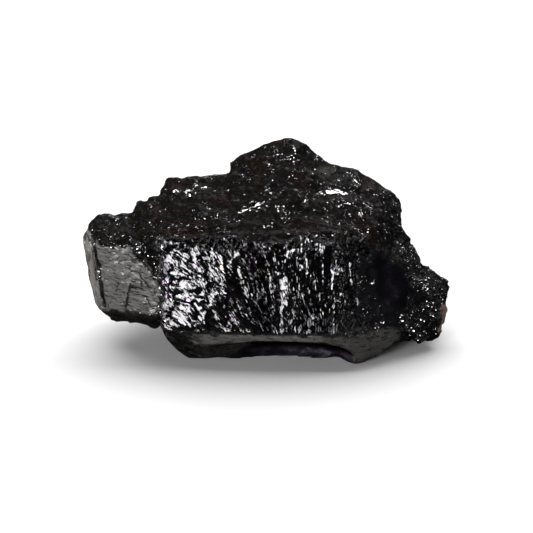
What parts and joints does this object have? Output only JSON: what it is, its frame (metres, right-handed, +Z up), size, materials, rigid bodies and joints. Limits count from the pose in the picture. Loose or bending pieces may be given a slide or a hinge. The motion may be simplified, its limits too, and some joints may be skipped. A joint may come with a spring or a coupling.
{
  "type": "shungite nugget",
  "caption": "Raw nugget of black noble shungite with a ribbed front break, stepped top, cleaved left end and a flat break underneath to rest on.",
  "frame": {"origin": "on the floor, under the middle of the bounding box", "axes": "+X along the nugget's length towards its tapering end, -Y out of the ribbed front break, +Z up"},
  "size_m": [0.0494, 0.0288, 0.0252],
  "materials": {
    "shungite": "glossy black with a half-metallic lustre, satin on the clean flat breaks"
  },
  "bodies": {
    "root": {"nugget": "shungite"}
  },
  "joints": []
}
